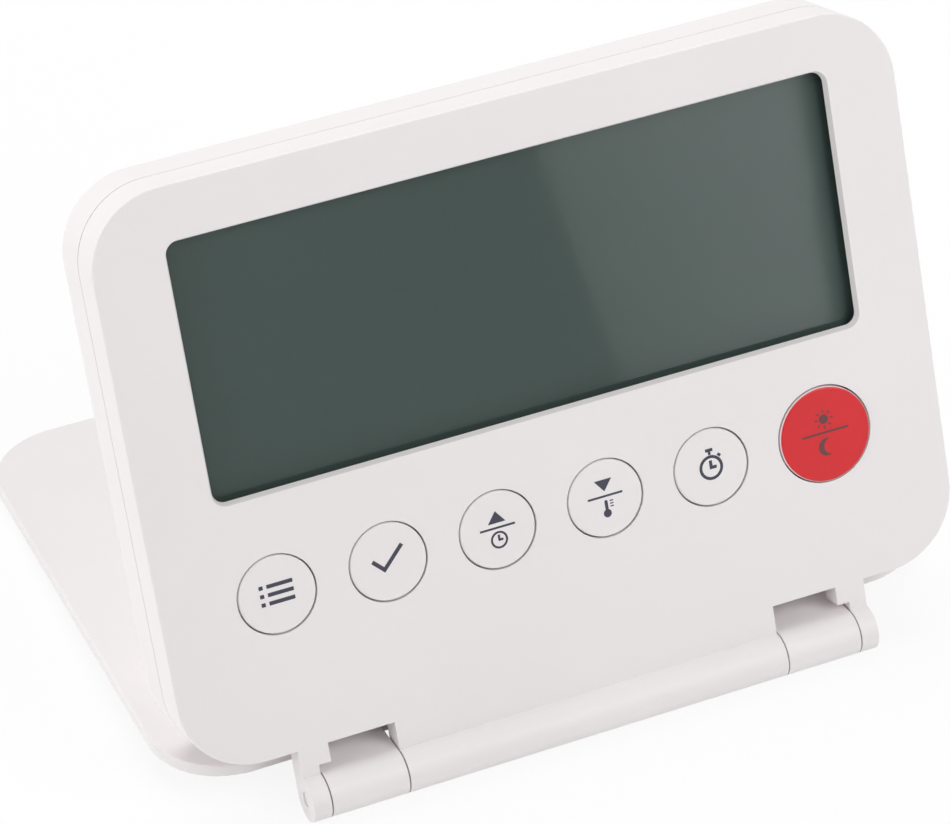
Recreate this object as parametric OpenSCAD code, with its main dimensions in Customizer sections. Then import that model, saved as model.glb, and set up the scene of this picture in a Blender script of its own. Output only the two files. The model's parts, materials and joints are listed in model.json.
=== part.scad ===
// Folding digital alarm clock standing on its swung-back cover.
// Millimetres, +Z up, table at Z = 0, the display faces -Y.
// The origin is the middle of the bounding box, on the table.

/* [Case] */
// Width of the clock case
body_w = 130.2; // [117:0.2:150]
// Height of the clock case, without the hinge
body_h = 90.9; // [81.5:0.1:110]
// Depth of the clock case from the face to the back
body_d = 16.1; // [15.8:0.1:20]
// Corner radius of the case
corner_r = 12; // [9:0.5:14]
// Thickness of the side walls
wall = 1.8; // [1.6:0.1:2]
// Thickness of the wall that carries the window and the buttons
front_wall = 1.8; // [1.6:0.1:2]
// Thickness of the back wall
rear_wall = 1.5; // [1.4:0.1:1.8]
// Rounding of the front rim
front_edge_r = 0.2; // [0.1:0.1:1]
// Rounding of the rear rim
rear_edge_r = 1.5; // [1:0.1:2]
// Depth of the front half of the case
seam_d = 7; // [6.8:0.1:7.4]
// Width of the open seam between the two halves
seam_gap = 0.2; // [0.1:0.05:0.3]

/* [Window] */
// Distance from each side of the case to the window
window_side = 11.75; // [11.6:0.05:16]
// Distance from the top of the case down to the window
window_margin = 8.8; // [8.5:0.05:10]
// Height of the window's lower edge above the bottom of the case
window_rise = 41.4; // [41:0.1:46]
// Corner radius of the window
window_r = 1.9; // [1:0.1:3]
// Widening of the window on each side, from the pane to the face
window_draft = 0.4; // [0.2:0.05:0.6]
// Thickness of the clear window pane
lens_t = 1.2; // [1:0.1:1.3]

/* [Buttons] */
// Diameter of the five white buttons
button_d = 12.3; // [9:0.1:12.4]
// Distance from the left side of the case to the first button
first_inset = 18.5; // [17:0.1:20]
// Distance from the right side of the case to the red button
snooze_inset = 20.1; // [19:0.1:21]
// Spacing of the last white button and the red one
snooze_space = 19.6; // [18:0.1:20]
// Height of the button row above the bottom of the case
button_rise = 25.4; // [25:0.1:26]
// Diameter of the red button
snooze_d = 15.4; // [12:0.1:16]
// Height of the red button above the face
snooze_crown = 0.35; // [0:0.05:0.5]
// Rounding of the red button's edge
snooze_edge_r = 0.4; // [0.3:0.05:0.6]
// Rounding of a white button's edge
button_edge_r = 0.3; // [0.1:0.05:0.4]
// Gap between a button and its hole
button_gap = 0.26; // [0.15:0.01:0.3]
// Travel of a button when it is pressed
button_travel = 0.5; // [0.2:0.05:0.6]

/* [Hinge] */
// Diameter of the hinge barrel
barrel_d = 7.2; // [6:0.1:7.6]
// Distance of the hinge axis below the case
hinge_drop = 8.1; // [7.8:0.1:9]
// Distance of the hinge axis behind the face
hinge_inset = 0.5; // [0.2:0.1:1]
// Length of the middle barrel on the case
web_w = 64.2; // [40:0.2:71]
// Distance between the outer ends of the two ears
ears_w = 96; // [86:0.5:106]
// Thickness of an ear
ear_t = 2.9; // [2:0.1:4]
// Extra width of the shoulder above an ear
shoulder = 2; // [1:0.1:3]
// Depth of the shoulder below the case
shoulder_drop = 3; // [2:0.1:3.4]
// Gap at each end of a cover knuckle
knuckle_gap = 0.25; // [0.1:0.05:0.4]
// Diameter of the hinge pins
pin_d = 2.4; // [2:0.1:3]
// Depth of the pin ends below the ear faces
pin_recess = 0.25; // [0.2:0.05:1]
// Length of a pin inside the middle barrel
pin_root = 8; // [5:0.5:12]

/* [Stand cover] */
// Thickness of the cover
cover_t = 2.2; // [2:0.1:2.6]
// Reach of the cover past the top of the case
cover_over = 5.1; // [2:0.1:8]
// Distance of the cover's hinge edge above the bottom of the case
cover_rise = 0.6; // [0:0.1:1.5]
// Reach of the cover past each side of the case
cover_side = 0.5; // [0:0.05:1]
// Rounding of the cover rim
cover_edge_r = 0.3; // [0.2:0.1:0.8]
// Gap between the closed cover and the face
cover_gap = 0.3; // [0.2:0.05:0.5]
// Depth of the shallow recess that clears the buttons
cover_recess = 0.5; // [0.4:0.05:0.7]
// Width of the rim round that recess
recess_rim = 4; // [3:0.5:8]
// Gap left where the case leans on the open cover
stop_gap = 0.12; // [0.1:0.01:0.3]

/* [Battery bay] */
// Diameter of a cell, AAA size
cell_d = 10.5;
// Length of a cell with its nub, AAA size
cell_l = 44.5;
// Thickness of the battery door
door_t = 1.5; // [1.4:0.1:1.6]
// Height of the battery door
door_h = 13.4; // [13.2:0.1:13.6]
// Diameter of the pivot studs on the battery door
stud_d = 1.4; // [1.2:0.1:1.6]

/* [Fits] */
// Radial clearance of parts that turn
running_fit = 0.05; // [0.02:0.01:0.1]
// Radial clearance of pins and screws that stay put
seat_fit = 0.03; // [0.02:0.01:0.05]
// Gap round parts that slide or lie in a recess
slip_gap = 0.2; // [0.1:0.05:0.25]

/* [Hidden] */
$fn = 96;
// Overshoot of cutting tools
over = 1;
// Gap between faces that rest on each other but move apart
rest_gap = 0.05;
// Overlap of shapes that are one piece
weld = 0.2;

// Case frame: x across, y up the face from the hinge axis, z out of the face
face_z = hinge_inset;
bottom_y = hinge_drop;
top_y = hinge_drop + body_h;
mid_y = hinge_drop + body_h / 2;
barrel_r = barrel_d / 2;
pin_r = pin_d / 2;
ear_x = ears_w / 2;
ear_in = ear_x - ear_t;
web_x = web_w / 2;

// Cover frame: y along the cover from the hinge axis, z out of its outer face
cover_in = hinge_inset + cover_gap;
cover_out = cover_in + cover_t;
cover_w = body_w + 2 * cover_side;
cover_start = bottom_y + cover_rise;
cover_end = top_y + cover_over;
cover_h = cover_end - cover_start;
cover_mid = (cover_start + cover_end) / 2;
cover_corner = corner_r + cover_side;
arm_lap = 2;

// Angle between the face and the open cover, where the rear rim meets the cover
rim_y = bottom_y + rear_edge_r;
rim_z = body_d - hinge_inset - rear_edge_r;
rim_reach = sqrt(rim_y * rim_y + rim_z * rim_z);
open_angle = atan2(rim_z, rim_y) + asin((cover_out + rear_edge_r + stop_gap) / rim_reach);

// Slope of the cover that stands on the hinge barrel and on its far edge
foot_y = cover_end - cover_edge_r;
foot_z = cover_in + cover_edge_r;
foot_reach = sqrt(foot_y * foot_y + foot_z * foot_z);
cover_slope = asin((barrel_r - cover_edge_r) / foot_reach) + atan2(foot_z, foot_y);
case_tilt = open_angle - cover_slope;

// Place of the hinge axis that puts the middle of the bounding box over the origin
far_y = foot_y * cos(cover_slope) + (cover_out - cover_edge_r) * sin(cover_slope) + cover_edge_r;
axis_y = -(far_y - barrel_r) / 2;
axis_z = barrel_r;

// Display stack, as depths behind the face
tape_t = 0.15;
lens_d = 1.2;
lens_seat_d = lens_d - tape_t;
lens_room = 0.1;
film_t = 0.2;
film_d = lens_d + lens_t + lens_room;
glass_t = 1;
front_glass_d = film_d + film_t;
rear_glass_d = front_glass_d + glass_t;
rear_film_d = rear_glass_d + glass_t;
guide_d = rear_film_d + film_t + rest_gap;
guide_t = 1.6;
board_d = 6.8;
board_t = 1.2;
board_back = board_d + board_t;

// Outline of the display stack
window_w = body_w - 2 * window_side;
window_low = bottom_y + window_rise;
window_top = top_y - window_margin;
window_h = window_top - window_low;
window_y = (window_low + window_top) / 2;
lens_lap = 1.5;
lens_w = window_w + 2 * lens_lap;
lens_h = window_h + 2 * lens_lap;
lens_corner = window_r + lens_lap;
tape_set_back = 0.15;
glass_side_lap = 0.9;
glass_top_lap = 1.1;
glass_low_lap = 0.8;
glass_corner = 0.5;
glass_w = window_w + 2 * glass_side_lap;
glass_top = window_top + glass_top_lap;
glass_low = window_low - glass_low_lap;
ledge = 2.9;
ledge_low = glass_low - ledge;
frame_t = 1.2;
frame_corner = 1;
frame_in_w = glass_w + 2 * slip_gap;
frame_w = frame_in_w + 2 * frame_t;
frame_top = glass_top + slip_gap + frame_t;
frame_low = ledge_low - slip_gap - frame_t;

// Rubber strip on the glass ledge
strip_end = 3;
strip_low_gap = 0.3;
strip_top_gap = 0.4;

// Light guide, with two lamps in the space at its right end
lamp_room = 4.5;
guide_end_gap = 0.5;
lamp_gap = 0.1;
lamp_l = 1.6;
lamp_w = 3;
lamp_spread = 20;

// Buttons and switches
first_x = first_inset - body_w / 2;
snooze_x = body_w / 2 - snooze_inset;
button_pitch = (snooze_x - snooze_space - first_x) / 4;
button_xs = concat([for (i = [0:4]) first_x + i * button_pitch], [snooze_x]);
button_y = bottom_y + button_rise;
flange_lap = 1.1;
flange_t = 1;
flange_d = front_wall + rest_gap;
key_cut = 0.55;
rib_w = 6;
rib_t = 1;
rib_l = 1.6;
stem_r = 1.3;
plunger_d = 3;
plunger_front = 3.7;
switch_w = 6;
switch_t = 2.2;
switch_d = board_d - switch_t;
well_floor = 0.6;
well_d = board_d - well_floor;
well_room = 0.3;

// Battery bay
bay_wall = 1;
bay_corner = 0.5;
bay_spare = 4;
bay_x = cell_l + bay_spare;
bay_rise = 1;
bay_low = bottom_y + wall + bay_rise;
cell_gap = 0.25;
cell_y = bay_low + cell_gap + cell_d / 2;
bay_high = cell_y + cell_d / 2 + cell_gap + rest_gap;
door_inner = body_d - door_t;
door_room = 0.6;
cell_depth = door_inner - door_room - cell_d / 2;
bay_floor = cell_depth - cell_d / 2 - cell_gap;
nub_l = 1;
nub_r = 1.9;

// Battery door with its pivot at the lower edge
pivot_lift = 0.3;
pivot_y = bottom_y + wall + slip_gap + door_t + pivot_lift;
pivot_d = body_d - door_t;
door_lap = 1.3;
door_x = bay_x + door_lap;
door_low = pivot_y - door_t;
door_top = door_low + door_h;
stud_l = 1.6;
pivot_wall = 1.2;
pivot_depth = 2.2;
seat_t = 1;
seat_w = 1.2;
notch_r = 5;
notch_d = 0.8;
grip_w = 16;
grip_fall = 3;
grip_pitch = 1;
grip_t = 0.4;
grip_d = 0.3;

// Battery contacts
contact_t = 0.4;
contact_w = 10;
contact_front = 5;
contact_rear = 2.5;
tab_w = 2.4;
tab_lap = 2;
leaf_r = 5.05;
leaf_w = 5;
leaf_rise = 2 * bay_x - 2 * contact_t - 2 * cell_l;

// Screws of the case
case_screw_d = 2.2;
case_head_d = 4;
case_head_t = 1.6;
case_head_gap = 0.15;
case_cross_w = 2.4;
case_cross_t = 0.5;
case_sink = 3;
case_seat_d = body_d - case_sink;
case_tip = 1.7;
case_screw_l = case_seat_d - front_wall - case_tip;
boss_r = 2.5;
post_r = 2.9;
post_gap = 0.3;
case_screw_inset = 3.8;
case_screw_fall = 17.3;
case_screw_x = body_w / 2 - wall - case_screw_inset;
case_screw_ys = [bay_high + bay_wall + post_r + post_gap, top_y - case_screw_fall];

// Screws of the board
board_screw_d = 1.7;
board_screw_l = 5;
board_head_d = 3.2;
board_head_t = 1.2;
board_cross_w = 1.8;
board_cross_t = 0.4;
board_hole_gap = 0.1;
board_boss_r = 1.6;
board_boss_gap = 0.1;
screw_below_button = 7.3;
screw_aside = 0.3;
board_screw_inset = 15.5;
tip_room = 0.4;
cross_d = 0.7;
board_screw_top = frame_top + board_boss_r + board_boss_gap;
board_screw_xy = [
    [first_x + button_pitch / 2, button_y - screw_below_button],
    [snooze_x - snooze_space / 2 + screw_aside, button_y - screw_below_button],
    [board_screw_inset - frame_w / 2, board_screw_top],
    [frame_w / 2 - board_screw_inset, board_screw_top]
];

// Board
board_side_gap = 0.4;
board_bay_gap = 1;
board_top_lap = 1.3;
board_corner = 1;
board_x = frame_w / 2 - board_side_gap;
board_low = bay_high + bay_wall + board_bay_gap;
board_high = board_screw_top + board_top_lap;

// Parts on the back of the board
chip_xy = [8, window_y - 4];
chip_dome_r = 12;
chip_t = 1.6;
crystal_xy = [20, window_y + 6];
crystal_r = 1;
crystal_l = 6;
crystal_leg_r = 0.15;
crystal_leg_l = 2;
crystal_leg_y = 0.35;
capacitor_xy = [-12, window_y - 12];
capacitor_r = 2;
capacitor_l = 5;
thermistor_inset = 11.3;
thermistor_rise = 30;
thermistor_r = 1.1;
thermistor_leg_l = 3;
thermistor_leg_r = 0.2;
thermistor_leg_x = 0.5;
buzzer_inset = 17.3;
buzzer_fall = 20;
buzzer_xy = [buzzer_inset - board_x, board_high - buzzer_fall];
buzzer_r = 6;
buzzer_t = 5;
buzzer_hole_r = 1;
buzzer_base = 1;

// Sound outlet in the back
sound_hole_d = 1.6;
sound_ring_r = 3.4;

// Lip on the rear half that lines up the two halves
lip_t = 0.7;
lip_gap = 0.1;
lip_in = 1;
lip_root = 2;

// Puts parts drawn in the case frame where the standing clock has them
module case_pose() {
    translate([0, axis_y, axis_z])
        rotate([case_tilt, 0, 0])
            children();
}

// Puts parts drawn in the cover frame where the standing clock has them
module cover_pose() {
    translate([0, axis_y, axis_z])
        rotate([-cover_slope, 0, 0])
            children();
}

// Extrudes a flat shape between two depths behind the face
module between(d1, d2) {
    translate([0, 0, face_z - d2])
        linear_extrude(d2 - d1)
            children();
}

// Round bar along x between two places, drawn at y and z
module bar(x1, x2, y, z, r) {
    translate([x1, y, z])
        rotate([0, 90, 0])
            cylinder(r = r, h = x2 - x1);
}

// Round bar into the depth of the case
module stud(xy, d1, d2, r) {
    translate([xy[0], xy[1], face_z - d2])
        cylinder(r = r, h = d2 - d1);
}

// Shape repeated on the left and the right
module both_sides() {
    children();
    mirror([1, 0, 0])
        children();
}

// Extrudes a side view across the clock
module across(x1, x2) {
    translate([x1, 0, 0])
        rotate([90, 0, 90])
            linear_extrude(x2 - x1)
                children();
}

module rounded_rect(w, h, r) {
    square([w - 2 * r, h], center = true);
    square([w, h - 2 * r], center = true);
    for (sx = [-1, 1], sy = [-1, 1])
        translate([sx * (w / 2 - r), sy * (h / 2 - r)])
            circle(r);
}

// Rounded rectangle between two heights, centred across
module upright_rect(w, y1, y2, r) {
    translate([0, (y1 + y2) / 2])
        rounded_rect(w, y2 - y1, r);
}

// Section through a rim, with its lower and upper outer edges rounded
module rim_section(run, t, r_low, r_high) {
    translate([0, r_low])
        square([run, t - r_low - r_high]);
    if (r_low > 0) {
        square([run - r_low, t - r_high]);
        translate([run - r_low, r_low])
            circle(r_low);
    }
    if (r_high > 0) {
        translate([0, r_low])
            square([run - r_high, t - r_low]);
        translate([run - r_high, t - r_high])
            circle(r_high);
    }
}

// Rounded plate whose rim has the section given as its child
module rimmed_plate(w, h, corner, t) {
    core_w = w - 2 * corner;
    core_h = h - 2 * corner;
    translate([-core_w / 2, -core_h / 2, 0])
        cube([core_w, core_h, t]);
    for (side = [0, 1])
        rotate([0, 0, 180 * side]) {
            translate([core_w / 2, core_h / 2, 0])
                rotate_extrude(angle = 90)
                    children();
            translate([-core_w / 2, core_h / 2, 0])
                rotate([0, 0, 90])
                    rotate_extrude(angle = 90)
                        children();
            translate([core_w / 2, core_h / 2, 0])
                rotate([90, 0, 0])
                    linear_extrude(core_h)
                        children();
            translate([-core_w / 2, core_h / 2, 0])
                rotate([90, 0, 90])
                    linear_extrude(core_w)
                        children();
        }
}

// Half of the case without its hollow
module case_half(d1, d2, r_low, r_high) {
    translate([0, mid_y, face_z - d2])
        rimmed_plate(body_w, body_h, corner_r, d2 - d1)
            rim_section(corner_r, d2 - d1, r_low, r_high);
}

// Outline of the hollow, moved in from the side walls
module hollow(inset) {
    translate([0, mid_y])
        rounded_rect(body_w - 2 * (wall + inset), body_h - 2 * (wall + inset),
            corner_r - wall - inset);
}

// Side view of a hinge lug: a web flush with the face that ends in the barrel
module lug_section() {
    circle(barrel_r);
    translate([0, -barrel_r])
        square([bottom_y + front_edge_r + weld, barrel_r + face_z]);
}

module hinge_lugs() {
    across(-web_x, web_x)
        lug_section();
    both_sides() {
        across(ear_in, ear_x)
            lug_section();
        across(ear_in - shoulder, ear_x)
            translate([bottom_y - shoulder_drop, -barrel_r])
                square([shoulder_drop + front_edge_r + weld, barrel_r + face_z]);
    }
}

// Window through the front wall, widening from the pane to the face
module window_cut() {
    depth = front_wall + over;
    face_r = window_r + window_draft;
    translate([0, window_y, face_z - depth])
        rimmed_plate(window_w, window_h, window_r, depth + over)
            polygon([
                [0, 0], [window_r, 0], [window_r, depth - lens_seat_d], [face_r, depth],
                [face_r, depth + over], [0, depth + over]
            ]);
}

function button_r(x) = (x == snooze_x ? snooze_d : button_d) / 2;
function button_crown(x) = x == snooze_x ? snooze_crown : 0;
function button_edge(x) = x == snooze_x ? snooze_edge_r : button_edge_r;

// Rib that keeps a button from turning
module key_rib(x) {
    flat_y = button_y - button_r(x) - flange_lap + key_cut;
    translate([x - rib_w / 2, flat_y - slip_gap - rib_t, face_z - front_wall - rib_l])
        cube([rib_w, rib_t, rib_l + weld]);
}

// Case screws at the left and the right
module at_case_screws() {
    for (y = case_screw_ys, sx = [-1, 1])
        translate([sx * case_screw_x, y, 0])
            children();
}

module at_board_screws() {
    for (xy = board_screw_xy)
        translate([xy[0], xy[1], 0])
            children();
}

module front_case() {
    color("gainsboro")
        case_pose()
            difference() {
                union() {
                    difference() {
                        case_half(0, seam_d, 0, front_edge_r);
                        between(front_wall, seam_d + over)
                            hollow(0);
                    }
                    hinge_lugs();
                    at_case_screws()
                        stud([0, 0], front_wall / 2, seam_d + seam_gap / 2, boss_r);
                    at_board_screws()
                        stud([0, 0], front_wall / 2, board_d, board_boss_r);
                    for (x = button_xs)
                        key_rib(x);
                }
                window_cut();
                between(lens_seat_d, front_wall + over)
                    translate([0, window_y])
                        rounded_rect(lens_w + slip_gap, lens_h + slip_gap, lens_corner);
                for (x = button_xs)
                    stud([x, button_y], -over, front_wall + weld, button_r(x) + button_gap);
                both_sides()
                    bar(web_x - pin_root, ear_x + over, 0, 0, pin_r + seat_fit);
                at_case_screws()
                    stud([0, 0], case_seat_d - case_screw_l - tip_room, seam_d + over,
                        case_screw_d / 2 + seat_fit);
                at_board_screws()
                    stud([0, 0], front_wall + tip_room, board_d + over, board_screw_d / 2 + seat_fit);
            }
}

// Lip that reaches into the front half
module lip() {
    difference() {
        union() {
            between(seam_d - lip_in, seam_d + seam_gap + weld)
                hollow(lip_gap);
            between(seam_d + seam_gap, seam_d + seam_gap + lip_root)
                hollow(-wall / 2);
        }
        between(seam_d - lip_in - over, seam_d + seam_gap + lip_root + over)
            hollow(lip_gap + lip_t);
    }
}

// Tub that holds the two cells, with a seat round the door and blocks for its pivots
module bay_block() {
    between(bay_floor - bay_wall, door_inner - rest_gap)
        upright_rect(2 * (bay_x + bay_wall), bottom_y + wall + slip_gap, bay_high + bay_wall,
            bay_corner);
    between(door_inner - rest_gap - seat_t, body_d - rear_wall / 2)
        upright_rect(2 * (door_x + slip_gap + seat_w), bottom_y + wall / 2,
            door_top + slip_gap + seat_w, bay_corner);
    both_sides()
        between(pivot_d - pivot_depth, body_d - rear_wall / 2)
            translate([door_x + slip_gap, bottom_y + wall / 2])
                square([stud_l + pivot_wall, pivot_y + pivot_wall - bottom_y]);
}

module bay_cut() {
    between(bay_floor, body_d + over)
        upright_rect(2 * bay_x, bay_low, bay_high, bay_corner);
    between(door_inner - rest_gap, body_d + over)
        translate([-door_x - slip_gap, pivot_y])
            square([2 * (door_x + slip_gap), door_top + slip_gap - pivot_y]);
    bar(-door_x - slip_gap, door_x + slip_gap, pivot_y, face_z - pivot_d, door_t + slip_gap);
    bar(-door_x - slip_gap - stud_l, door_x + slip_gap + stud_l, pivot_y, face_z - pivot_d,
        stud_d / 2 + running_fit);
    // Nail notch above the door
    stud([0, door_top + slip_gap], body_d - notch_d, body_d + over, notch_r);
    // Slots for the contact tabs
    between(board_back - slip_gap, board_back + tab_w + slip_gap)
        both_sides()
            translate([bay_x - contact_t - slip_gap, bay_high - over])
                square([contact_t + slip_gap, bay_wall + 2 * over]);
}

// Ring of sound holes round one in the middle
module sound_holes() {
    translate([buzzer_xy[0], buzzer_xy[1], face_z - body_d - over]) {
        cylinder(d = sound_hole_d, h = rear_wall + 2 * over);
        for (i = [0:5])
            rotate([0, 0, 60 * i])
                translate([sound_ring_r, 0, 0])
                    cylinder(d = sound_hole_d, h = rear_wall + 2 * over);
    }
}

module rear_case() {
    color("whitesmoke")
        case_pose()
            difference() {
                union() {
                    difference() {
                        case_half(seam_d + seam_gap, body_d, rear_edge_r, 0);
                        between(seam_d, body_d - rear_wall)
                            hollow(0);
                    }
                    lip();
                    intersection() {
                        bay_block();
                        between(0, body_d)
                            hollow(-wall / 2);
                    }
                    at_case_screws()
                        stud([0, 0], seam_d + seam_gap / 2, body_d - rear_wall / 2, post_r);
                }
                bay_cut();
                sound_holes();
                at_case_screws() {
                    stud([0, 0], seam_d - over, body_d, case_screw_d / 2 + seat_fit);
                    stud([0, 0], case_seat_d, body_d + over, case_head_d / 2 + case_head_gap);
                }
            }
}

module battery_door() {
    color("whitesmoke")
        case_pose()
            difference() {
                union() {
                    between(door_inner, body_d)
                        translate([-door_x, pivot_y])
                            square([2 * door_x, door_top - pivot_y]);
                    bar(-door_x, door_x, pivot_y, face_z - pivot_d, door_t);
                    bar(-door_x - stud_l, door_x + stud_l, pivot_y, face_z - pivot_d, stud_d / 2);
                }
                // Grip lines
                for (i = [-2:2])
                    translate([-grip_w / 2, door_top - grip_fall + i * grip_pitch,
                            face_z - body_d - over])
                        cube([grip_w, grip_t, over + grip_d]);
            }
}

// Side view of a cover arm: it runs off the barrel down to the outer face
module arm_section() {
    end_y = cover_start + arm_lap;
    reach = sqrt(end_y * end_y + cover_out * cover_out);
    touch = atan2(cover_out, end_y) + acos(barrel_r / reach);
    circle(barrel_r);
    polygon([
        [0, cover_in], barrel_r * [cos(touch), sin(touch)], [end_y, cover_out], [end_y, cover_in]
    ]);
}

module stand_cover() {
    color("white")
        cover_pose()
            difference() {
                union() {
                    translate([0, cover_mid, cover_in])
                        rimmed_plate(cover_w, cover_h, cover_corner, cover_t)
                            rim_section(cover_corner, cover_t, cover_edge_r, cover_edge_r);
                    both_sides()
                        across(web_x + knuckle_gap, ear_in - knuckle_gap)
                            arm_section();
                }
                translate([0, cover_mid, cover_in - over])
                    linear_extrude(cover_recess + over)
                        rounded_rect(cover_w - 2 * recess_rim, cover_h - 2 * recess_rim,
                            cover_corner - recess_rim);
                both_sides()
                    bar(web_x, ear_in, 0, 0, pin_r + running_fit);
            }
}

module hinge_pins() {
    color("white")
        case_pose()
            both_sides()
                bar(web_x - pin_root + slip_gap, ear_x - pin_recess, 0, 0, pin_r);
}

module window_lens() {
    color("lightblue", 0.4)
        case_pose()
            between(lens_d, lens_d + lens_t)
                translate([0, window_y])
                    rounded_rect(lens_w, lens_h, lens_corner - slip_gap / 2);
}

module lens_tape() {
    color("black")
        case_pose()
            between(lens_seat_d, lens_d)
                translate([0, window_y])
                    difference() {
                        rounded_rect(lens_w, lens_h, lens_corner - slip_gap / 2);
                        rounded_rect(window_w + 2 * tape_set_back, window_h + 2 * tape_set_back,
                            window_r);
                    }
}

module front_film() {
    color("darkslategray")
        case_pose()
            between(film_d, film_d + film_t)
                upright_rect(glass_w, glass_low, glass_top, glass_corner);
}

module front_glass() {
    color("lightgray")
        case_pose()
            between(front_glass_d, front_glass_d + glass_t)
                upright_rect(glass_w, ledge_low, glass_top, glass_corner);
}

module rear_glass() {
    color("lightgray")
        case_pose()
            between(rear_glass_d, rear_glass_d + glass_t)
                upright_rect(glass_w, glass_low, glass_top, glass_corner);
}

module rear_film() {
    color("gray")
        case_pose()
            between(rear_film_d, rear_film_d + film_t)
                upright_rect(glass_w, glass_low, glass_top, glass_corner);
}

// Rubber strip that joins the glass ledge to the board
module contact_strip() {
    color("pink")
        case_pose()
            between(rear_glass_d, board_d)
                translate([strip_end - glass_w / 2, ledge_low + strip_low_gap])
                    square([glass_w - 2 * strip_end, ledge - strip_low_gap - strip_top_gap]);
}

module light_guide() {
    color("azure")
        case_pose()
            between(guide_d, guide_d + guide_t)
                translate([guide_end_gap - glass_w / 2, glass_low])
                    square([glass_w - guide_end_gap - lamp_room, glass_top - glass_low]);
}

module backlight_leds() {
    color("ivory")
        case_pose()
            between(guide_d + lamp_gap, board_d)
                for (side = [-1, 1])
                    translate([glass_w / 2 - lamp_room + lamp_gap,
                            window_y + side * lamp_spread / 2 - lamp_w / 2])
                        square([lamp_l, lamp_w]);
}

// Frame that holds the glass and the light guide on the board
module display_frame() {
    color("white")
        case_pose()
            between(film_d, board_d)
                difference() {
                    upright_rect(frame_w, frame_low, frame_top, frame_corner);
                    upright_rect(frame_in_w, frame_low + frame_t, frame_top - frame_t, glass_corner);
                }
}

module main_board() {
    color("seagreen")
        case_pose()
            difference() {
                between(board_d, board_back)
                    upright_rect(2 * board_x, board_low, board_high, board_corner);
                at_board_screws()
                    stud([0, 0], board_d - over, board_back + over,
                        board_screw_d / 2 + board_hole_gap);
            }
}

// Domed resin drop over the bare chip
module chip_cover() {
    color("black")
        case_pose()
            intersection() {
                translate([chip_xy[0], chip_xy[1], face_z - board_back + chip_dome_r - chip_t])
                    sphere(chip_dome_r);
                stud(chip_xy, board_back, board_back + 2 * chip_t, chip_dome_r);
            }
}

module clock_crystal() {
    z = face_z - board_back - crystal_r;
    color("silver")
        case_pose()
            translate([crystal_xy[0], crystal_xy[1], 0]) {
                bar(0, crystal_l, 0, z, crystal_r);
                for (y = [-crystal_leg_y, crystal_leg_y])
                    bar(-crystal_leg_l, weld, y, z, crystal_leg_r);
            }
}

module capacitor() {
    color("navy")
        case_pose()
            stud(capacitor_xy, board_back, board_back + capacitor_l, capacitor_r);
}

// Temperature sensor bead on two legs
module thermistor() {
    color("saddlebrown")
        case_pose()
            translate([thermistor_inset - board_x, board_low + thermistor_rise,
                    face_z - board_back - thermistor_leg_l]) {
                sphere(thermistor_r);
                for (x = [-thermistor_leg_x, thermistor_leg_x])
                    translate([x, 0, 0])
                        cylinder(r = thermistor_leg_r, h = thermistor_leg_l);
            }
}

module buzzer() {
    color("dimgray")
        case_pose()
            difference() {
                stud(buzzer_xy, board_back, board_back + buzzer_t, buzzer_r);
                stud(buzzer_xy, board_back + buzzer_base, board_back + buzzer_t + over, buzzer_hole_r);
            }
}

// Six switches under the buttons, each with a well for its plunger
module switch_bases() {
    color("darkgray")
        case_pose()
            difference() {
                between(switch_d, board_d)
                    for (x = button_xs)
                        translate([x, button_y])
                            square(switch_w, center = true);
                for (x = button_xs)
                    stud([x, button_y], switch_d - over, well_d, plunger_d / 2 + running_fit);
            }
}

// Button cap with a keyed flange behind the front wall and a pressing stem
module button_cap(x) {
    r = button_r(x);
    flange_r = r + flange_lap;
    case_pose()
        translate([x, button_y, face_z - flange_d - flange_t]) {
            rotate_extrude()
                rim_section(r, button_crown(x) + flange_d + flange_t, 0, button_edge(x));
            intersection() {
                cylinder(r = flange_r, h = flange_t);
                translate([-flange_r, key_cut - flange_r, 0])
                    cube([2 * flange_r, 2 * flange_r, flange_t]);
            }
            translate([0, 0, flange_d + flange_t - plunger_front + rest_gap])
                cylinder(r = stem_r, h = plunger_front - flange_d - flange_t);
        }
}

module plunger(x) {
    case_pose()
        stud([x, button_y], plunger_front, well_d - well_room - button_travel, plunger_d / 2);
}

module mode_button() {
    color("gainsboro")
        button_cap(button_xs[0]);
}

module set_button() {
    color("gainsboro")
        button_cap(button_xs[1]);
}

module up_button() {
    color("gainsboro")
        button_cap(button_xs[2]);
}

module down_button() {
    color("gainsboro")
        button_cap(button_xs[3]);
}

module timer_button() {
    color("gainsboro")
        button_cap(button_xs[4]);
}

module snooze_button() {
    color("crimson")
        button_cap(button_xs[5]);
}

module mode_plunger() {
    color("black")
        plunger(button_xs[0]);
}

module set_plunger() {
    color("black")
        plunger(button_xs[1]);
}

module up_plunger() {
    color("black")
        plunger(button_xs[2]);
}

module down_plunger() {
    color("black")
        plunger(button_xs[3]);
}

module timer_plunger() {
    color("black")
        plunger(button_xs[4]);
}

module snooze_plunger() {
    color("black")
        plunger(button_xs[5]);
}

// Cell with its nub at the left end
module cell(x1) {
    z = face_z - cell_depth;
    case_pose() {
        bar(x1 + nub_l, x1 + cell_l, cell_y, z, cell_d / 2);
        bar(x1, x1 + nub_l + weld, cell_y, z, nub_r);
    }
}

module battery_left() {
    color("goldenrod")
        cell(contact_t - bay_x);
}

module battery_right() {
    color("goldenrod")
        cell(contact_t - bay_x + cell_l);
}

// End plate with a tab up to the back of the board, drawn at the right end
module end_plate() {
    across(bay_x - contact_t, bay_x) {
        translate([cell_y - contact_w / 2, face_z - cell_depth - contact_rear])
            square([contact_w, contact_rear + contact_front]);
        translate([cell_y, face_z - board_back - tab_w])
            square([board_low + tab_lap - cell_y, tab_w]);
    }
}

module positive_contact() {
    color("silver")
        case_pose()
            mirror([1, 0, 0])
                end_plate();
}

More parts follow.
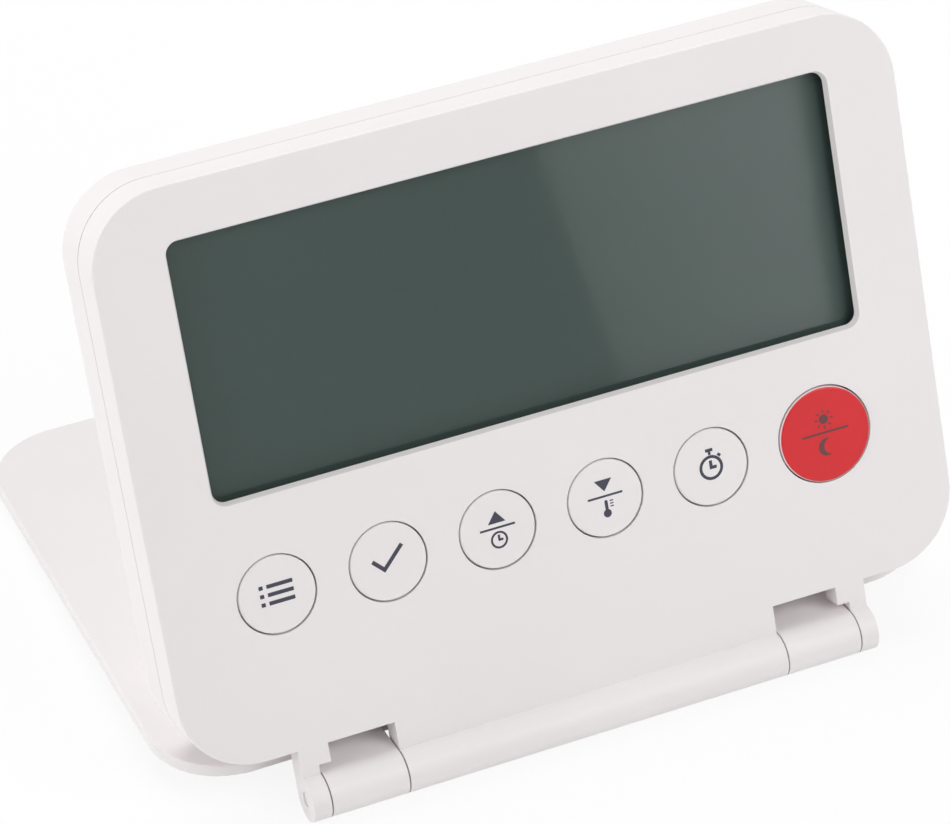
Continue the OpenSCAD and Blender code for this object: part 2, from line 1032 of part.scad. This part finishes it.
// Bowed leaf that presses on the last cell
module negative_contact() {
    color("silver")
        case_pose() {
            end_plate();
            translate([bay_x - contact_t - leaf_rise + leaf_r, cell_y,
                    face_z - cell_depth - leaf_w / 2])
                linear_extrude(leaf_w)
                    difference() {
                        circle(leaf_r);
                        circle(leaf_r - contact_t);
                        translate([leaf_rise - leaf_r + rest_gap, -2 * leaf_r])
                            square(4 * leaf_r);
                    }
        }
}

// Cross in the end of a screw head
module cross_slot(d, w, t) {
    for (turn = [0, 90])
        rotate([0, 0, turn])
            translate([-w / 2, -t / 2, face_z - d - over])
                cube([w, t, over + cross_d]);
}

// Pan-head screw with its head seat at depth d, pointing to the face
module screw(d, shank_r, shank_l, head_r, head_t) {
    stud([0, 0], d - shank_l, d + weld, shank_r);
    stud([0, 0], d, d + head_t, head_r);
}

module case_screws() {
    color("silver")
        case_pose()
            at_case_screws()
                difference() {
                    screw(case_seat_d, case_screw_d / 2, case_screw_l, case_head_d / 2, case_head_t);
                    cross_slot(case_seat_d + case_head_t, case_cross_w, case_cross_t);
                }
}

module board_screws() {
    color("silver")
        case_pose()
            at_board_screws()
                difference() {
                    screw(board_back, board_screw_d / 2, board_screw_l, board_head_d / 2,
                        board_head_t);
                    cross_slot(board_back + board_head_t, board_cross_w, board_cross_t);
                }
}

front_case();
rear_case();
battery_door();
stand_cover();
hinge_pins();
window_lens();
lens_tape();
front_film();
front_glass();
rear_glass();
rear_film();
contact_strip();
light_guide();
backlight_leds();
display_frame();
main_board();
chip_cover();
clock_crystal();
capacitor();
thermistor();
buzzer();
switch_bases();
mode_button();
set_button();
up_button();
down_button();
timer_button();
snooze_button();
mode_plunger();
set_plunger();
up_plunger();
down_plunger();
timer_plunger();
snooze_plunger();
battery_left();
battery_right();
positive_contact();
negative_contact();
case_screws();
board_screws();
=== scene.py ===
import json
import math

import bmesh
import bpy
from mathutils import Matrix, Vector


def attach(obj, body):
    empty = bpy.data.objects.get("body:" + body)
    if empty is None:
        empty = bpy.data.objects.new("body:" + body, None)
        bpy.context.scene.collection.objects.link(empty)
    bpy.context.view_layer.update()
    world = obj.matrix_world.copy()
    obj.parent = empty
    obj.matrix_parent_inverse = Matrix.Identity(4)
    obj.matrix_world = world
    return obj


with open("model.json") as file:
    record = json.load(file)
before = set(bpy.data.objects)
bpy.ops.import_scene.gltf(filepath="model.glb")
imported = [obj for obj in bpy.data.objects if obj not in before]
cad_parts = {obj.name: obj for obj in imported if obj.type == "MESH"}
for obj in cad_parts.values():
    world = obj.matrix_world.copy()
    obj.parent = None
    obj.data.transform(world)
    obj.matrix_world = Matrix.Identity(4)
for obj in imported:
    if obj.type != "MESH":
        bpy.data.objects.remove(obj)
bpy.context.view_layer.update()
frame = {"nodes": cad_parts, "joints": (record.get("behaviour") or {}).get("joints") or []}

scene = bpy.context.scene
nodes = frame["nodes"]
MM = 0.001
KEYS = ("mode", "set", "up", "down", "timer", "snooze")

# Case frame: x across, y up the face from the hinge axis, z out of the face, worked out from the joints

joints = {joint["name"]: joint for joint in frame["joints"]}
hinge = Vector(joints["stand_hinge"]["pos_m"])
inward = Vector(joints["mode_press"]["axis"])
up_face = Vector((1, 0, 0)).cross(inward)
turn = Matrix(((1, 0, 0), up_face, -inward)).transposed()
case = Matrix.Translation(hinge) @ turn.to_4x4()


def case_point(x, y, z):
    """A point of the case frame in millimetres, in the row frame in metres."""
    return case @ Vector((x * MM, y * MM, z * MM))


def case_corners(node):
    """Lowest and highest corner of a CAD node in the case frame, in millimetres."""
    to_case = case.inverted()
    points = [to_case @ vertex.co / MM for vertex in nodes[node].data.vertices]
    low = [min(point[i] for point in points) for i in range(3)]
    high = [max(point[i] for point in points) for i in range(3)]
    return low, high


# Materials

WHITE = (1, 1, 1, 1)


class Nodes:
    """Adds and links the nodes of one material or world."""

    def __init__(self, owner, output):
        owner.use_nodes = True
        self.owner = owner
        self.tree = owner.node_tree
        self.tree.nodes.clear()
        self.out = self.node(output)

    def node(self, kind, **settings):
        """A new node; settings that start with in_ are values of its sockets."""
        new = self.tree.nodes.new(kind)
        for key, value in settings.items():
            if key.startswith("in_"):
                new.inputs[key[3:].replace("_", " ")].default_value = value
            else:
                setattr(new, key, value)
        return new

    def link(self, source, target):
        self.tree.links.new(source, target)

    def feed(self, target, value):
        """Sets an input to a number or a colour, or links it to an output."""
        if isinstance(value, float):
            target.default_value = value
        elif isinstance(value, tuple):
            target.default_value = (*value, 1)
        else:
            self.link(value, target)

    def combine(self, operation, a, b):
        """The result of an operation on two outputs or numbers."""
        new = self.node("ShaderNodeMath", operation=operation)
        self.feed(new.inputs[0], a)
        self.feed(new.inputs[1], b)
        return new.outputs["Value"]

    def mix(self, fac, first, second):
        """A shader between two shaders, on the output."""
        new = self.node("ShaderNodeMixShader")
        self.link(fac, new.inputs[0])
        self.link(first, new.inputs[1])
        self.link(second, new.inputs[2])
        self.link(new.outputs["Shader"], self.out.inputs["Surface"])

    def seen(self):
        """1 where the camera sees a surface, straight or in gloss or glass, else 0."""
        path = self.node("ShaderNodeLightPath")
        straight = path.outputs["Is Camera Ray"]
        mirrored = self.combine("MAXIMUM", straight, path.outputs["Is Glossy Ray"])
        return self.combine("MAXIMUM", mirrored, path.outputs["Is Transmission Ray"])


class Surface(Nodes):
    """The nodes of a material, with textures over the row frame in metres."""

    def __init__(self, name):
        super().__init__(bpy.data.materials.new(name), "ShaderNodeOutputMaterial")
        coordinates = self.node("ShaderNodeTexCoord")
        self.place = coordinates.outputs["Object"]
        self.facing = coordinates.outputs["Normal"]

    def noise(self, per_metre, detail=2.0, rough=0.5):
        """Noise with that many features per metre."""
        new = self.node("ShaderNodeTexNoise", in_Scale=per_metre, in_Detail=detail, in_Roughness=rough)
        self.link(self.place, new.inputs["Vector"])
        return new.outputs["Fac"]

    def span(self, value, low, high, from_low=0.3, from_high=0.7):
        """A value carried from one range to another; noise lies mostly from 0.3 to 0.7."""
        new = self.node("ShaderNodeMapRange", in_From_Min=from_low, in_From_Max=from_high,
                        in_To_Min=low, in_To_Max=high)
        self.link(value, new.inputs["Value"])
        return new.outputs["Result"]

    def blend(self, fac, low, high):
        """A colour between two others."""
        new = self.node("ShaderNodeMixRGB")
        self.link(fac, new.inputs["Fac"])
        self.feed(new.inputs["Color1"], low)
        self.feed(new.inputs["Color2"], high)
        return new.outputs["Color"]

    def along(self, vector, direction):
        """How far a vector reaches along a direction."""
        new = self.node("ShaderNodeVectorMath", operation="DOT_PRODUCT")
        self.link(vector, new.inputs[0])
        new.inputs[1].default_value = direction
        return new.outputs["Value"]

    def clouds(self, low, high, per_metre=35.0, detail=4.0):
        """A colour that drifts between two shades."""
        return self.blend(self.span(self.noise(per_metre, detail), 0, 1), low, high)

    def uneven(self, rough, spread=0.05, per_metre=120.0, detail=3.0):
        """A roughness that drifts by the spread to either side."""
        return self.span(self.noise(per_metre, detail), rough - spread, rough + spread)

    def grain(self, per_metre, depth):
        """Fine bumps of a depth in millimetres."""
        new = self.node("ShaderNodeBump", in_Strength=0.35, in_Distance=depth * MM)
        self.link(self.noise(per_metre, detail=3.0, rough=0.6), new.inputs["Height"])
        return new.outputs["Normal"]

    def principled(self, **settings):
        new = self.node("ShaderNodeBsdfPrincipled", **settings)
        self.link(new.outputs["BSDF"], self.out.inputs["Surface"])
        return new


def moulded(name, low, high, rough, grain=2600.0, depth=0.03, coat=0.0, metal=0.0):
    """Moulded or drawn surface: cloudy colour, uneven gloss, and grain per metre of a depth in mm."""
    s = Surface(name)
    bsdf = s.principled(in_Metallic=metal, in_Coat_Weight=coat, in_Coat_Roughness=0.06)
    s.link(s.clouds(low, high), bsdf.inputs["Base Color"])
    s.link(s.uneven(rough), bsdf.inputs["Roughness"])
    s.link(s.grain(grain, depth), bsdf.inputs["Normal"])
    return s.owner


def display_film():
    """Display that is switched off: cloudy grey-green, with the mirror of the pane in front of it."""
    s = Surface("display_film")
    bsdf = s.principled(in_IOR=1.33)
    shade = s.clouds((0.058, 0.082, 0.076), (0.063, 0.088, 0.082), per_metre=18.0, detail=6.0)
    s.link(shade, bsdf.inputs["Base Color"])
    s.link(s.uneven(0.04, spread=0.003, per_metre=60.0, detail=2.0), bsdf.inputs["Roughness"])
    return s.owner


def red_cap():
    """White button cap with a red flat top; the paint thins out over the rounded edge."""
    s = Surface("red_cap")
    bsdf = s.principled()
    red = s.clouds((0.65, 0.007, 0.011), (0.69, 0.009, 0.015))
    bare = (0.85, 0.74, 0.75)
    level = s.along(s.facing, -inward)
    painted = s.span(level, 0, 1, from_low=0.60, from_high=0.78)
    s.link(s.blend(painted, bare, red), bsdf.inputs["Base Color"])
    s.link(s.uneven(0.38), bsdf.inputs["Roughness"])
    s.link(s.grain(1400.0, 0.012), bsdf.inputs["Normal"])
    return s.owner


def clear_pane():
    """Clear pane with a trace of tint."""
    s = Surface("clear_pane")
    clear = s.node("ShaderNodeBsdfTransparent")
    s.link(s.blend(s.noise(60.0), (0.985, 0.995, 0.990), (0.990, 1.0, 0.995)), clear.inputs["Color"])
    s.link(clear.outputs["BSDF"], s.out.inputs["Surface"])
    return s.owner


def paint(material, *names):
    for name in names:
        slots = nodes[name].data.materials
        slots.clear()
        slots.append(material)


paint(moulded("white_plastic", (0.875, 0.833, 0.834), (0.895, 0.853, 0.854), 0.47),
      "front_case", "rear_case", "battery_door", "stand_cover", "hinge_pins",
      *[key + "_button" for key in KEYS if key != "snooze"])
paint(red_cap(), "snooze_button")
paint(moulded("black_tape", (0.010, 0.010, 0.016), (0.018, 0.018, 0.028), 0.7), "lens_tape")
paint(clear_pane(), "window_lens")
paint(display_film(), "front_film")
paint(moulded("reflector_film", (0.40, 0.42, 0.40), (0.46, 0.48, 0.46), 0.35), "rear_film")
paint(moulded("cell_glass", (0.30, 0.34, 0.33), (0.34, 0.38, 0.37), 0.1), "front_glass", "rear_glass")
paint(moulded("strip_rubber", (0.55, 0.22, 0.26), (0.62, 0.26, 0.3), 0.7), "contact_strip")
paint(moulded("milky_acrylic", (0.80, 0.83, 0.86), (0.86, 0.88, 0.90), 0.2), "light_guide", "backlight_leds")
paint(moulded("inner_plastic", (0.72, 0.72, 0.72), (0.78, 0.78, 0.78), 0.5), "display_frame")
paint(moulded("board_mask", (0.012, 0.10, 0.045), (0.02, 0.14, 0.06), 0.35), "main_board")
paint(moulded("black_plastic", (0.012, 0.012, 0.012), (0.022, 0.022, 0.022), 0.55),
      "chip_cover", "buzzer", "switch_bases", *[key + "_plunger" for key in KEYS])
paint(moulded("steel", (0.55, 0.55, 0.57), (0.66, 0.66, 0.68), 0.32, grain=4000.0, depth=0.01, metal=1.0),
      "case_screws", "board_screws", "clock_crystal", "positive_contact", "negative_contact")
paint(moulded("blue_sleeve", (0.02, 0.03, 0.12), (0.03, 0.04, 0.16), 0.3), "capacitor")
paint(moulded("brown_bead", (0.10, 0.035, 0.015), (0.14, 0.05, 0.02), 0.5), "thermistor")
paint(moulded("cell_jacket", (0.02, 0.10, 0.05), (0.03, 0.14, 0.07), 0.35, coat=0.4),
      "battery_left", "battery_right")

# Signs printed on the buttons, drawn in millimetres about each button's middle

ARROW_HALF = 1.45
ARROW_LOW = 0.85
ARROW_HIGH = 2.75
RULE_LOW = -0.1
RULE_HIGH = 0.24
RULE_HALF = 2.9
RED_RULE_HALF = 4.0
SUN_RAYS = 8
# Half the thickness of the ink
INK = 0.012
# Points of a mesh that lie closer than this are one, in metres
SAME_POINT = 1e-7


def box_path(x0, y0, x1, y1):
    return [(x0, y0), (x1, y0), (x1, y1), (x0, y1)]


def arc_path(cx, cy, r, start=0.0, end=360.0, steps=40):
    """Points on an arc, in degrees; a full circle leaves out the point it would repeat."""
    count = steps if abs(end - start) >= 360 else steps + 1
    angles = [math.radians(start + (end - start) * i / steps) for i in range(count)]
    return [(cx + r * math.cos(a), cy + r * math.sin(a)) for a in angles]


def turned(path, cx, cy, degrees):
    """A path turned about a point."""
    c, s = math.cos(math.radians(degrees)), math.sin(math.radians(degrees))
    return [(cx + (x - cx) * c - (y - cy) * s, cy + (x - cx) * s + (y - cy) * c) for x, y in path]


def menu_sign():
    """Three rows of a dot and a bar."""
    pitch, half = 1.35, 0.31
    rows = []
    for y in (pitch, 0.0, -pitch):
        rows.append(box_path(-2.7, y - half, -2.05, y + half))
        rows.append(box_path(-1.45, y - half, 2.7, y + half))
    return rows


def tick_sign():
    return [[(-2.75, 0.15), (-2.3, 0.6), (-0.8, -0.9), (2.3, 2.2), (2.75, 1.75), (-0.8, -1.8)]]


def clock_sign(cx, cy, r):
    """A ring with two hands, whose sizes are shares of its radius."""
    inner, half, short, tall = r * 0.76, r * 0.13, r * 0.46, r * 0.58
    hands = [(cx - half, cy - half), (cx + short, cy - half), (cx + short, cy + half),
             (cx + half, cy + half), (cx + half, cy + tall), (cx - half, cy + tall)]
    return [arc_path(cx, cy, r), arc_path(cx, cy, inner), hands]


def rule_sign(half):
    return [box_path(-half, RULE_LOW, half, RULE_HIGH)]


def up_sign():
    """An arrow up over a clock."""
    arrow = [(-ARROW_HALF, ARROW_LOW), (ARROW_HALF, ARROW_LOW), (0, ARROW_HIGH)]
    return [arrow] + rule_sign(RULE_HALF) + clock_sign(0, -1.9, 1.4)


def down_sign():
    """An arrow down over a thermometer with three marks."""
    arrow = [(-ARROW_HALF, ARROW_HIGH), (0, ARROW_LOW), (ARROW_HALF, ARROW_HIGH)]
    bulb = arc_path(0, -2.75, 0.66, 113, 427)
    tube_end = arc_path(0, -0.85, 0.26, 0, 180, 12)
    half = 0.09
    marks = [box_path(0.62, y - half, 1.2, y + half) for y in (-0.85, -1.3, -1.75)]
    return [arrow] + rule_sign(RULE_HALF) + [bulb + tube_end] + marks


def stopwatch_sign():
    """A clock with a crown and a lug at its side."""
    middle = -0.35
    crown = [box_path(-0.62, 2.25, 0.62, 2.75), box_path(-0.22, 1.72, 0.22, 2.25)]
    lug = turned(box_path(-0.3, 1.75, 0.3, 2.2), 0, middle, -42)
    return clock_sign(0, middle, 2.0) + crown + [lug]


def sun_moon_sign():
    """A sun with its rays over a moon."""
    sun_y, moon_y = 2.25, -2.3
    ray = box_path(-0.12, 3.3, 0.12, 3.85)
    sun = [arc_path(0, sun_y, 0.78)]
    sun += [turned(ray, 0, sun_y, 360 / SUN_RAYS * i) for i in range(SUN_RAYS)]
    moon = arc_path(0, moon_y, 1.45, 62, 298) + arc_path(0.78, moon_y, 1.28, 272, 88)
    return sun + rule_sign(RED_RULE_HALF) + [moon]


def filled_mesh(name, paths):
    """A thin mesh of closed outlines in millimetres, filled by the even-odd rule."""
    curve = bpy.data.curves.new(name, "CURVE")
    curve.dimensions = "2D"
    curve.fill_mode = "BOTH"
    curve.extrude = INK * MM
    for path in paths:
        spline = curve.splines.new("POLY")
        spline.points.add(len(path) - 1)
        for point, (x, y) in zip(spline.points, path):
            point.co = (x * MM, y * MM, 0, 1)
        spline.use_cyclic_u = True
    drawn = bpy.data.objects.new(name + "_outline", curve)
    mesh = bpy.data.meshes.new_from_object(drawn)
    bpy.data.objects.remove(drawn)
    mesh.name = name
    shape = bmesh.new()
    shape.from_mesh(mesh)
    bmesh.ops.remove_doubles(shape, verts=shape.verts, dist=SAME_POINT)
    bmesh.ops.recalc_face_normals(shape, faces=shape.faces)
    shape.to_mesh(mesh)
    shape.free()
    return mesh


def printed(key, paths, material):
    """Ink that lies on a button and moves with it."""
    low, high = case_corners(key + "_button")
    mesh = filled_mesh(key + "_sign", paths)
    middle = ((low[0] + high[0]) / 2 * MM, (low[1] + high[1]) / 2 * MM, (high[2] + INK) * MM)
    mesh.transform(case @ Matrix.Translation(middle))
    mesh.materials.clear()
    mesh.materials.append(material)
    sign = bpy.data.objects.new(key + "_sign", mesh)
    scene.collection.objects.link(sign)
    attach(sign, key + "_key")


ink = moulded("ink", (0.033, 0.034, 0.056), (0.043, 0.044, 0.070), 0.55, grain=6000.0, depth=0.005)
ink_on_red = moulded("ink_on_red", (0.105, 0.030, 0.035), (0.135, 0.038, 0.044), 0.5,
                     grain=6000.0, depth=0.005)
printed("mode", menu_sign(), ink)
printed("set", tick_sign(), ink)
printed("up", up_sign(), ink)
printed("down", down_sign(), ink)
printed("timer", stopwatch_sign(), ink)
printed("snooze", sun_moon_sign(), ink_on_red)

# Camera at the photograph's angle, its place in millimetres and its turn given in the case frame

LENS = 167.7
SENSOR_W = 36
NEAR_CLIP = 0.01
CAMERA = (-215.45, 263.1, 597.2)
CAMERA_RIGHT = Vector((0.9153, -0.1595, 0.3698))
CAMERA_DOWN = Vector((-0.2601, -0.9351, 0.2406))


def add_camera():
    right = (turn @ CAMERA_RIGHT).normalized()
    back = right.cross(turn @ -CAMERA_DOWN).normalized()
    pose = Matrix((right, back.cross(right), back)).transposed()
    data = bpy.data.cameras.new("camera")
    data.sensor_fit = "HORIZONTAL"
    data.sensor_width = SENSOR_W
    data.lens = LENS
    data.clip_start = NEAR_CLIP
    camera = bpy.data.objects.new("camera", data)
    camera.matrix_world = Matrix.Translation(case_point(*CAMERA)) @ pose.to_4x4()
    scene.collection.objects.link(camera)
    scene.camera = camera


add_camera()

# Floor, world and lamps, in metres

FLOOR_HALF = 6.0
# Share of plain white in the floor as the camera sees it; the rest takes light and shadow
FLOOR_WHITE = 0.88
# Strength of the even light
FILL = 0.28
# Point that the lamps face
AIM = (0, 0, 0.05)


def plate(name, corners, material):
    """A flat stage piece that isn't part of the object."""
    mesh = bpy.data.meshes.new(name)
    mesh.from_pydata(corners, [], [tuple(range(len(corners)))])
    mesh.materials.append(material)
    piece = bpy.data.objects.new(name, mesh)
    scene.collection.objects.link(piece)
    return piece


def floor_material():
    """Pale floor that takes the object's shadow and is otherwise white to the eye."""
    s = Surface("floor_white")
    diffuse = s.node("ShaderNodeBsdfDiffuse")
    s.link(s.blend(s.noise(3.0), (0.93, 0.93, 0.93), (0.96, 0.96, 0.96)), diffuse.inputs["Color"])
    white = s.node("ShaderNodeEmission", in_Color=WHITE, in_Strength=1.0)
    share = s.combine("MULTIPLY", s.seen(), FLOOR_WHITE)
    s.mix(share, diffuse.outputs["BSDF"], white.outputs["Emission"])
    return s.owner


def studio_world():
    """Even light from all round; white where the camera, gloss or glass sees it."""
    s = Nodes(bpy.data.worlds.new("studio"), "ShaderNodeOutputWorld")
    fill = s.node("ShaderNodeBackground", in_Color=(0.98, 0.99, 1.0, 1), in_Strength=FILL)
    white = s.node("ShaderNodeBackground", in_Color=WHITE, in_Strength=1.0)
    s.mix(s.seen(), fill.outputs["Background"], white.outputs["Background"])
    return s.owner


def lamp(name, place, size, power):
    """A soft rectangular lamp of a width and height in metres and a power in watts."""
    light = bpy.data.lights.new(name, "AREA")
    light.shape = "RECTANGLE"
    light.size, light.size_y = size
    light.energy = power
    new = bpy.data.objects.new(name, light)
    new.location = place
    new.rotation_euler = (Vector(AIM) - Vector(place)).to_track_quat("-Z", "Y").to_euler()
    scene.collection.objects.link(new)


floor_corners = [(x * FLOOR_HALF, y * FLOOR_HALF, 0) for x, y in box_path(-1, -1, 1, 1)]
plate("floor", floor_corners, floor_material())
scene.world = studio_world()
lamp("left", (-1.7, 0.0, 0.75), (1.4, 1.4), 15)
lamp("top_back", (0.1, 1.0, 1.75), (1.8, 1.4), 22)
lamp("front_right", (0.55, -0.75, 0.75), (0.6, 0.6), 5.3)

# Light panel with a dark card at its right, in front of the object; the camera sees them mirrored alone

BOARDS_Y = -1.5
BOARDS_TOP = 0.50
# The x of each upright edge, at the floor and at the top
PANEL_LEFT = (0.551, 0.515)
CARD_LEFT = (0.651, 0.730)
CARD_RIGHT = (0.860, 0.860)
# The way in which the panel's light grows, and where along it the growth starts and ends
GLOW_WAY = (1, 0, 0.37)
GLOW_START = 0.57
GLOW_END = 0.757
GLOW_LOW = 1.96
GLOW_HIGH = 4.1


def panel_glow():
    """Light that grows to the right and upwards."""
    s = Surface("panel_glow")
    light = s.node("ShaderNodeEmission", in_Color=WHITE)
    strength = s.span(s.along(s.place, GLOW_WAY), GLOW_LOW, GLOW_HIGH, GLOW_START, GLOW_END)
    s.link(strength, light.inputs["Strength"])
    s.link(light.outputs["Emission"], s.out.inputs["Surface"])
    return s.owner


def front_board(name, left, right, material):
    """An upright board between two edges, which the camera doesn't see straight."""
    edge = [(left[0], 0), (right[0], 0), (right[1], BOARDS_TOP), (left[1], BOARDS_TOP)]
    plate(name, [(x, BOARDS_Y, z) for x, z in edge], material).visible_camera = False


front_board("panel", PANEL_LEFT, CARD_LEFT, panel_glow())
front_board("card", CARD_LEFT, CARD_RIGHT,
            moulded("card_black", (0.010, 0.010, 0.010), (0.014, 0.014, 0.014), 0.8))

scene.view_settings.view_transform = "Standard"
